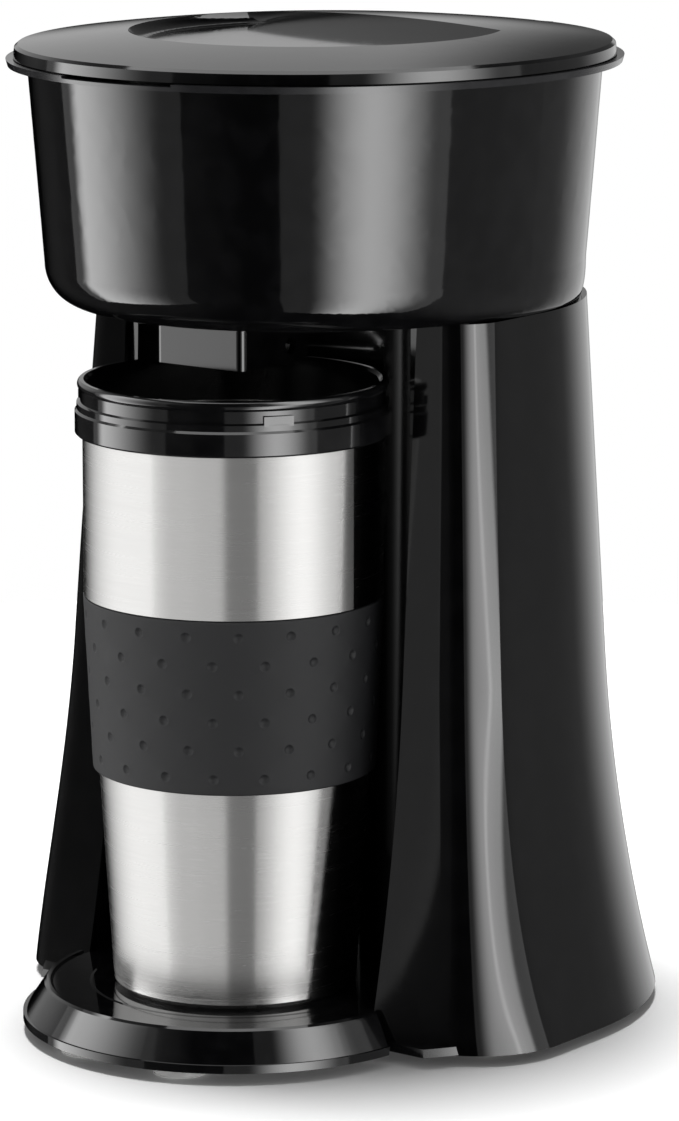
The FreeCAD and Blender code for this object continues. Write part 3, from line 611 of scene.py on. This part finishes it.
@dataclass
class ColumnSkin:
    """Outer skin of the column.

    It has a round back, flat flanks, corners that widen downwards and wing fronts that turn. The wings'
    turn is in degrees. Turn and corner radius grow with the square of the flare, in metres.
    """

    half_top: float = 66.0 * MM
    draft: float = 0.06006
    flare_z: float = 98.0 * MM
    flare_radius: float = 500.0 * MM
    front: float = 32.6 * MM
    bay_half: float = 49.0 * MM
    turn_top: float = 5.0
    turn_grow: float = 42000.0
    corner_top: float = 12.5 * MM
    corner_grow: float = 33.0
    mug_ahead: float = 48.0 * MM
    hem: float = 9.0 * MM
    lip: float = 3.0 * MM
    crease: float = math.radians(30.0)
    rows: int = 48
    front_steps: int = 3
    corner_steps: int = 14
    flank_steps: int = 4
    back_steps: int = 24

    def flare(self, z: float, top: float) -> float:
        """How far the sides stand out compared with the top.

        Args:
            z: Height.
            top: Height of the column's top.

        Returns:
            The distance in metres.
        """
        dip = max(self.flare_z - z, 0.0)
        return self.draft * (top - z) + self.flare_radius - math.sqrt(self.flare_radius ** 2 - dip ** 2)

    def outline(self, out: float, inset: float) -> list[tuple[float, float]]:
        """Half of the outline at one height, from the bay's edge to the middle of the back.

        Args:
            out: The flare at that height.
            inset: How far the outline is moved in.

        Returns:
            Points with the column's axis at zero.
        """
        turn = math.radians(self.turn_top + self.turn_grow * out ** 2)
        corner = self.corner_top + self.corner_grow * out ** 2
        reach = self.bay_half * math.sin(turn) + (self.front + out) * math.cos(turn)
        x = self.half_top + out - corner
        y = (corner + x * math.sin(turn) - reach) / math.cos(turn)
        side, radius = self.half_top + out - inset, corner - inset
        edge_y = (inset - reach + self.bay_half * math.sin(turn)) / math.cos(turn)
        first = (x + radius * math.sin(turn), y - radius * math.cos(turn))
        points = [(self.bay_half, edge_y + self.lip)]
        for k in range(self.front_steps):
            share = k / self.front_steps
            points.append((self.bay_half + (first[0] - self.bay_half) * share,
                           edge_y + (first[1] - edge_y) * share))
        for k in range(self.corner_steps + 1):
            angle = (0.5 * math.pi - turn) * (1.0 - k / self.corner_steps)
            points.append((x + radius * math.cos(angle), y - radius * math.sin(angle)))
        points += [(side, y * k / self.flank_steps) for k in range(self.flank_steps - 1, 0, -1)]
        for k in range(self.back_steps + 1):
            angle = 0.5 * math.pi * k / self.back_steps
            points.append((side * math.cos(angle), side * math.sin(angle)))
        return points

    def build(self, finish: Finish) -> bpy.types.Object:
        """Builds the skin that stands for the CAD column.

        Args:
            finish: Its finish.

        Returns:
            The piece, fixed to the housing.
        """
        low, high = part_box("column_shell")
        mug_low, mug_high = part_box("mug_shell")
        axis_y = 0.5 * (mug_low.y + mug_high.y) + self.mug_ahead
        mesh = bmesh.new()
        heights = [low.z + (high.z - low.z) * k / self.rows for k in range(self.rows + 1)]
        levels = [(heights[0], self.hem), *((z, 0.0) for z in heights), (heights[-1], self.hem)]
        rings = []
        for z, inset in levels:
            half = self.outline(self.flare(z, high.z), inset)
            whole = half + [(-x, y) for x, y in reversed(half[:-1])]
            rings.append([mesh.verts.new((x, axis_y + y, z)) for x, y in whole])
        for under, over in zip(rings, rings[1:]):
            for k in range(len(under) - 1):
                mesh.faces.new((under[k], under[k + 1], over[k + 1], over[k]))
        bmesh.ops.recalc_face_normals(mesh, faces=mesh.faces)
        data = bpy.data.meshes.new(COLUMN_PIECE)
        mesh.to_mesh(data)
        mesh.free()
        data.shade_smooth()
        data.set_sharp_from_angle(angle=self.crease)
        piece = bpy.data.objects.new(COLUMN_PIECE, data)
        bpy.context.scene.collection.objects.link(piece)
        data.materials.append(finish.material())
        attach(piece, "housing")
        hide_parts("column_shell")
        log.info("%s: %d faces", piece.name, len(data.polygons))
        return piece


class Brewing(Dressed):
    """Tank, filter and spray arm under the lid."""

    def finishes(self) -> dict[Finish, tuple[str, ...]]:
        """The nodes of each finish."""
        low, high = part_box("filter_mesh")
        axis = 0.5 * (low.y + high.y)
        return {
            GlossMoulding("tank_black", (0.006, 0.006, 0.0065), roughness=0.16, smear=0.08): ("water_tank",),
            MattMoulding("basket_black", (0.014, 0.014, 0.015), roughness=0.34): (
                "filter_basket", "spray_arm"),
            WovenNylon("filter_nylon", (0.42, 0.33, 0.22), axis): ("filter_mesh",),
            PlainMetal("hinge_steel", (0.62, 0.62, 0.6)): ("hinge_pin",),
        }


class WaterWorks(Dressed):
    """Heater, hoses, valve and wiring inside the column."""

    def finishes(self) -> dict[Finish, tuple[str, ...]]:
        """The nodes of each finish."""
        return {
            PlainMetal("heater_aluminium", (0.72, 0.72, 0.71), 0.38, (0.6, 0.6, 0.6)): ("heater_tube",),
            PlainMetal("element_steel", (0.42, 0.4, 0.38), 0.42, (0.3, 0.27, 0.24)): ("heater_element",),
            PlainMetal("zinc_plate", (0.62, 0.62, 0.6), 0.3): (
                "heater_brackets", "hose_clips", "base_screws", "head_screws", "thermostat", "valve_ball"),
            PlainMetal("spade_brass", (0.78, 0.6, 0.3), 0.28, (0.66, 0.47, 0.22)): ("switch_terminals",),
            Silicone("silicone", (0.78, 0.76, 0.71)): ("supply_hose", "riser_hose", "spout_gasket"),
            MattMoulding("valve_plastic", (0.5, 0.48, 0.43), 0.4): ("valve_body", "terminal_block"),
            WireSleeve("wire_sleeve", (0.66, 0.63, 0.55)): ("wiring", "thermal_fuses"),
        }


class Switch(Dressed):
    """Rocker switch in the flank."""

    def finishes(self) -> dict[Finish, tuple[str, ...]]:
        """The nodes of each finish."""
        return {
            MattMoulding("switch_frame", (0.012, 0.012, 0.013), 0.4): ("switch_body",),
            GlossMoulding("rocker_black", (0.004, 0.004, 0.0042), 0.14): ("switch_rocker",),
        }


@dataclass
class Mug(Dressed):
    """Steel travel mug with a dimpled rubber grip."""

    rubber: Color = (0.007, 0.0072, 0.0082)
    low_radius: float = 37.9 * MM
    top_radius: float = 40.2 * MM
    thickness: float = 1.6 * MM
    lip: float = 0.5 * MM
    lip_round: float = 0.3 * MM
    rows: int = 6
    columns: int = 18
    side_steps: int = 8
    first_turn: float = math.radians(-49.9)
    dimple_radius: float = 1.3 * MM
    dimple_depth: float = 0.55 * MM
    dimple_rim: float = 0.05 * MM
    rim_place: float = 1.12
    rim_half: float = 0.2
    weld: float = 0.01 * MM
    roll_drop: float = 0.3
    roll_depth: float = 0.1
    rings: tuple[float, ...] = (0.3, 0.55, 0.76, 0.9, 1.0, 1.1, 1.35)
    fade: tuple[float, ...] = (0.35,)
    axis: Vector = field(init=False)
    low_z: float = field(init=False)
    top_z: float = field(init=False)

    def __post_init__(self) -> None:
        """Takes the place of the grip from its CAD solid."""
        low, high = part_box("mug_grip")
        self.axis = 0.5 * (low + high)
        self.low_z, self.top_z = low.z, high.z

    def finishes(self) -> dict[Finish, tuple[str, ...]]:
        """The nodes of each finish."""
        return {
            BrushedSteel("mug_steel", (0.66, 0.655, 0.645), self.axis.y): ("mug_shell", "mug_base"),
            BrushedSteel("liner_steel", (0.62, 0.62, 0.61), self.axis.y, 0.22): ("mug_liner",),
            GlossMoulding("mug_black", (0.0012, 0.0012, 0.0013), 0.08): ("mug_collar",),
        }

    def dimple(self, reach: float) -> float:
        """Height of the grip surface near a dimple.

        Args:
            reach: Distance from its middle, in dimple radii.

        Returns:
            Height above the plain surface, in metres.
        """
        if reach <= 1.0:
            return -self.dimple_depth * (1.0 - reach * reach)
        return self.dimple_rim * max(0.0, 1.0 - abs(reach - self.rim_place) / self.rim_half)

    def on_grip(self, turn: float, z: float, height: float) -> Vector:
        """A point on the tapered grip.

        Args:
            turn: Angle round the mug.
            z: Height in the CAD frame.
            height: Distance outwards from the plain surface.

        Returns:
            The point.
        """
        share = (z - self.low_z) / (self.top_z - self.low_z)
        radius = self.low_radius + (self.top_radius - self.low_radius) * share + height
        return Vector((self.axis.x + radius * math.cos(turn), self.axis.y + radius * math.sin(turn), z))

    def cell(self, mesh: bmesh.types.BMesh, turn: float, z: float, half_turn: float, half_z: float) -> None:
        """Adds one dimple with the patch of grip round it.

        Args:
            mesh: The grip's mesh.
            turn: Angle of the dimple.
            z: Height of the dimple.
            half_turn: Half the patch's angle.
            half_z: Half the patch's height.
        """
        radius = self.on_grip(turn, z, 0.0).xy - self.axis.xy
        arc = half_turn * radius.length
        n = self.side_steps
        side = [2.0 * k / n - 1.0 for k in range(n)]
        edge = ([(s, -1.0) for s in side] + [(1.0, s) for s in side]
                + [(-s, 1.0) for s in side] + [(-1.0, -s) for s in side])
        border = [(s * arc, t * half_z) for s, t in edge]

        def spot(flat: tuple[float, float], height: float) -> bmesh.types.BMVert:
            """A vertex at a flat place of the patch."""
            return mesh.verts.new(self.on_grip(turn + flat[0] / radius.length, z + flat[1], height))

        loops = []
        for reach in self.rings:
            size = reach * self.dimple_radius
            loops.append([spot((size * x / math.hypot(x, y), size * y / math.hypot(x, y)), self.dimple(reach))
                          for x, y in border])
        last = self.rings[-1] * self.dimple_radius
        for share in (*self.fade, 1.0):
            sizes = [share + (1 - share) * last / math.hypot(x, y) for x, y in border]
            loops.append([spot((x * size, y * size), 0.0) for (x, y), size in zip(border, sizes)])
        middle = spot((0.0, 0.0), self.dimple(0.0))
        count = len(border)
        for k in range(count):
            mesh.faces.new((middle, loops[0][k], loops[0][(k + 1) % count]))
        for inner, outer in zip(loops, loops[1:]):
            for k in range(count):
                mesh.faces.new((inner[k], outer[k], outer[(k + 1) % count], inner[(k + 1) % count]))

    def lips(self, mesh: bmesh.types.BMesh) -> None:
        """Adds the rolled edges and the hidden inner face.

        Args:
            mesh: The grip's mesh.
        """
        drop, depth = self.roll_drop * self.lip, -self.roll_depth * self.lip_round
        profile = [(self.top_z - self.lip, 0.0), (self.top_z - drop, depth),
                   (self.top_z, -self.lip_round), (self.top_z, -self.thickness),
                   (self.low_z, -self.thickness), (self.low_z, -self.lip_round),
                   (self.low_z + drop, depth), (self.low_z + self.lip, 0.0)]
        count = self.columns * self.side_steps
        rings = [[mesh.verts.new(self.on_grip(self.first_turn + (k / count) * math.tau, z, height))
                  for k in range(count)] for z, height in profile]
        for upper, lower in zip(rings, rings[1:]):
            for k in range(count):
                mesh.faces.new((upper[k], upper[(k + 1) % count], lower[(k + 1) % count], lower[k]))

    def grip(self) -> bpy.types.Object:
        """Builds the dimpled grip.

        Returns:
            The piece, riding on the mug.
        """
        mesh = bmesh.new()
        half_turn = math.pi / self.columns
        half_z = (self.top_z - self.low_z - 2.0 * self.lip) / (2.0 * self.rows)
        for row in range(self.rows):
            z = self.top_z - self.lip - (2 * row + 1) * half_z
            for column in range(self.columns):
                turn = self.first_turn + (2 * column + row % 2) * half_turn
                self.cell(mesh, turn, z, half_turn, half_z)
        self.lips(mesh)
        bmesh.ops.remove_doubles(mesh, verts=mesh.verts, dist=self.weld)
        bmesh.ops.recalc_face_normals(mesh, faces=mesh.faces)
        data = bpy.data.meshes.new("mug_grip_dimpled")
        mesh.to_mesh(data)
        mesh.free()
        data.shade_smooth()
        piece = bpy.data.objects.new("mug_grip_dimpled", data)
        bpy.context.scene.collection.objects.link(piece)
        data.materials.append(SoftRubber("grip_rubber", self.rubber).material())
        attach(piece, "mug_body")
        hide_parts("mug_grip")
        log.info("mug_grip_dimpled: %d faces", len(data.polygons))
        return piece

    def build(self) -> None:
        """Dresses the mug and adds its grip."""
        self.dress()
        self.grip()


# Studio

STEEL_PIECES = ("mug_shell", "mug_base", "mug_liner", "mug_grip_dimpled")


class Lit(Enum):
    """Which pieces a lamp lights."""

    MOULDINGS = "mouldings"
    COLUMN = "column"
    STEEL = "steel"
    OBJECT = "object"
    FLOOR = "floor"

    def takes(self, name: str) -> bool:
        """Whether a piece is lit.

        Args:
            name: The piece's name.

        Returns:
            True for a piece of the group.
        """
        if self is Lit.FLOOR or name == "floor":
            return self is Lit.FLOOR and name == "floor"
        if self is Lit.COLUMN or name == COLUMN_PIECE:
            return self is Lit.OBJECT or (self is Lit.COLUMN and name == COLUMN_PIECE)
        return self is Lit.OBJECT or (name in STEEL_PIECES) == (self is Lit.STEEL)

    def group(self) -> bpy.types.Collection:
        """The collection of the lit pieces, made on first use."""
        found = bpy.data.collections.get(self.value)
        if found is None:
            found = bpy.data.collections.new(self.value)
            for piece in bpy.context.scene.objects:
                if piece.type == "MESH" and self.takes(piece.name):
                    found.objects.link(piece)
        return found


@dataclass(frozen=True)
class SoftBox:
    """A flat lamp that faces the machine.

    The turn is measured in degrees from the camera's side, to the right in its view. Each stop is a place
    across the lamp, from left to right, with the glow there. Lean shifts the stops to the left with height
    on the right half.
    """

    name: str
    turn: float
    reach: float
    width: float
    height: float
    z: float
    radiance: float
    lit: Lit
    stops: tuple[tuple[float, float], ...] = ()
    lean: float = 0.0
    aimed: bool = False

    def build(self, camera_turn: float) -> bpy.types.Object:
        """Makes the lamp.

        Args:
            camera_turn: Azimuth of the camera in degrees.

        Returns:
            The lamp.
        """
        data = bpy.data.lights.new(self.name, "AREA")
        data.shape = "RECTANGLE"
        data.size, data.size_y = self.width, self.height
        data.energy = math.pi * self.width * self.height * self.radiance
        lamp = bpy.data.objects.new(self.name, data)
        bpy.context.scene.collection.objects.link(lamp)
        angle = math.radians(camera_turn + self.turn)
        out = Vector((math.sin(angle), -math.cos(angle), 0.0))
        lamp.location = out * self.reach + Vector((0.0, 0.0, self.z))
        facing = -lamp.location if self.aimed else -out
        lamp.rotation_euler = facing.to_track_quat("-Z", "Y").to_euler()
        lamp.visible_camera = False
        if self.stops:
            self.shade(Tree(data))
        lamp.light_linking.receiver_collection = self.lit.group()
        log.info("lamp %s", self.name)
        return lamp

    def shade(self, tree: Tree) -> None:
        """Gives the lamp its glow from left to right.

        Args:
            tree: The lamp's node tree.
        """
        face = tree.node("ShaderNodeNewGeometry", output="Parametric")
        spot = tree.node("ShaderNodeSeparateXYZ", {}, {0: face})
        across = spot.out("X")
        if self.lean:
            across = across + self.lean * (spot.out("Y") - 0.5) * across.smooth(0.25, 0.55)
        level = tree.node("ShaderNodeValToRGB", {"stops": self.stops}, {0: across})
        glow = tree.node("ShaderNodeEmission", {}, {"Color": level, "Strength": 1.0})
        tree.node("ShaderNodeOutputLight", {}, {"Surface": glow})


@dataclass
class Studio:
    """Camera, floor, lamps and white surroundings."""

    turn: float = 37.29
    pitch: float = 11.15
    eye: Color = (0.8712, -1.1362, 0.4043)
    lens: float = 172.25
    sensor: float = 36.0
    clip: tuple[float, float] = (0.05, 50.0)
    floor_radius: float = 0.55
    floor_sides: int = 96
    floor_color: Color = (0.88, 0.88, 0.88)
    ambient: float = 0.3

    def camera(self) -> None:
        """Places the camera at the photograph's angle."""
        data = bpy.data.cameras.new("camera")
        data.lens, data.sensor_width = self.lens, self.sensor
        data.clip_start, data.clip_end = self.clip
        eye = bpy.data.objects.new("camera", data)
        bpy.context.scene.collection.objects.link(eye)
        eye.location = self.eye
        eye.rotation_euler = (math.radians(90.0 - self.pitch), 0.0, math.radians(self.turn))
        bpy.context.scene.camera = eye

    def floor(self) -> None:
        """Lays a round pale floor under the feet."""
        mesh = bmesh.new()
        bmesh.ops.create_circle(mesh, cap_ends=True, segments=self.floor_sides, radius=self.floor_radius)
        data = bpy.data.meshes.new("floor")
        mesh.to_mesh(data)
        mesh.free()
        piece = bpy.data.objects.new("floor", data)
        bpy.context.scene.collection.objects.link(piece)
        data.materials.append(StudioFloor("floor_paper", self.floor_color).material())
        piece.visible_glossy = False
        piece.visible_shadow = False

    def surroundings(self) -> None:
        """White behind everything, and dim light from the rest of the room."""
        world = bpy.data.worlds.new("room")
        bpy.context.scene.world = world
        tree = Tree(world)
        ray = tree.node("ShaderNodeLightPath", output="Is Camera Ray")
        plain = ray.greater(ray.out("Is Transmission Ray"))
        mirror = ray.out("Is Glossy Ray")
        sky = tree.node("ShaderNodeTexCoord", output="Generated")
        way = tree.node("ShaderNodeSeparateXYZ", {}, {0: sky})
        angle = math.radians(self.turn)
        back = way.out("Y") * math.cos(angle) - way.out("X") * math.sin(angle)
        right = way.out("X") * math.cos(angle) + way.out("Y") * math.sin(angle)
        up = way.out("Z")
        low = 1.0 - up.smooth(0.42, 0.75)
        paper = back.smooth(0.3, 0.8) * up.smooth(-0.05, 0.08) * low
        edge = back.smooth(0.5, 0.9) * right.smooth(0.0, 0.3) * (1.0 - up.smooth(0.05, 0.15))
        left = (0.06 + 0.25 * up.smooth(0.1, 0.3)) * (0.0 - right).smooth(0.3, 0.7)
        behind = 0.58 * paper * (1.0 - 0.85 * right.smooth(0.02, 0.08))
        room = behind.greater(0.9 * edge) + 0.25 * right.smooth(0.35, 0.85) + left
        strength = plain + mirror * room + (1.0 - plain.greater(mirror)) * self.ambient
        glow = tree.node("ShaderNodeBackground", {}, {"Color": WHITE, "Strength": strength})
        tree.node("ShaderNodeOutputWorld", {}, {"Surface": glow})

    def lamps(self) -> Iterable[SoftBox]:
        """The lamps of the set."""
        return (
            SoftBox("overhead", turn=180.0, reach=0.1, width=1.6, height=1.6, z=1.6, radiance=3.0,
                    lit=Lit.OBJECT, aimed=True),
            SoftBox("floor_light", turn=-150.0, reach=0.16, width=0.55, height=0.55, z=2.0, radiance=66.0,
                    lit=Lit.FLOOR, aimed=True),
            SoftBox("left_box", turn=-83.0, reach=1.3, width=1.82, height=2.25, z=0.28, radiance=5.9,
                    lit=Lit.MOULDINGS, stops=((0.08, 0.08), (0.22, 1.0), (0.3, 1.0), (0.85, 0.05))),
            SoftBox("right_low", turn=28.0, reach=1.3, width=1.75, height=1.9, z=-0.85, radiance=8.3,
                    lit=Lit.MOULDINGS, stops=((0.2, 0.04), (0.53, 1.0), (0.92, 0.08))),
            SoftBox("right_high", turn=50.0, reach=1.3, width=1.96, height=2.3, z=1.26, radiance=7.2,
                    lit=Lit.MOULDINGS, stops=((0.18, 0.03), (0.5, 1.0), (0.86, 0.08))),
            SoftBox("column_right", turn=45.0, reach=4.0, width=8.0, height=2.15, z=0.03, radiance=9.0,
                    lit=Lit.COLUMN, lean=1.15,
                    stops=((0.06, 0.04), (0.4, 0.68), (0.45, 1.0), (0.5, 0.68), (0.66, 0.56), (0.75, 0.08))),
            SoftBox("column_left", turn=-52.0, reach=4.0, width=3.15, height=2.0, z=0.05, radiance=0.45,
                    lit=Lit.COLUMN, lean=-1.32, stops=((0.5, 0.8), (0.63, 1.0), (0.66, 0.04))),
            SoftBox("steel_rear", turn=-107.0, reach=1.0, width=2.0, height=1.9, z=0.1, radiance=1.37,
                    lit=Lit.STEEL, stops=((0.02, 0.08), (0.62, 1.0))),
            SoftBox("steel_left", turn=-22.0, reach=1.0, width=1.68, height=1.9, z=0.1, radiance=1.37,
                    lit=Lit.STEEL, stops=((0.0, 0.75), (0.25, 0.53), (0.63, 0.53), (0.69, 0.2))),
            SoftBox("steel_right", turn=59.0, reach=1.0, width=1.74, height=1.9, z=0.1, radiance=1.36,
                    lit=Lit.STEEL, stops=((0.0, 0.5), (0.43, 1.0), (0.75, 0.52), (1.0, 0.4))),
        )

    def build(self) -> None:
        """Sets up the studio."""
        bpy.context.scene.view_settings.view_transform = "Standard"
        self.camera()
        self.floor()
        self.surroundings()
        for lamp in self.lamps():
            lamp.build(self.turn)


def main() -> None:
    """Builds the machine and the studio."""
    logging.basicConfig(level=logging.INFO, format="%(name)s: %(message)s")
    for assembly in (Housing(), Brewing(), WaterWorks(), Switch(), Mug()):
        assembly.build()
        log.info("%s done", type(assembly).__name__)
    Studio().build()


if __name__ == "__main__":
    main()
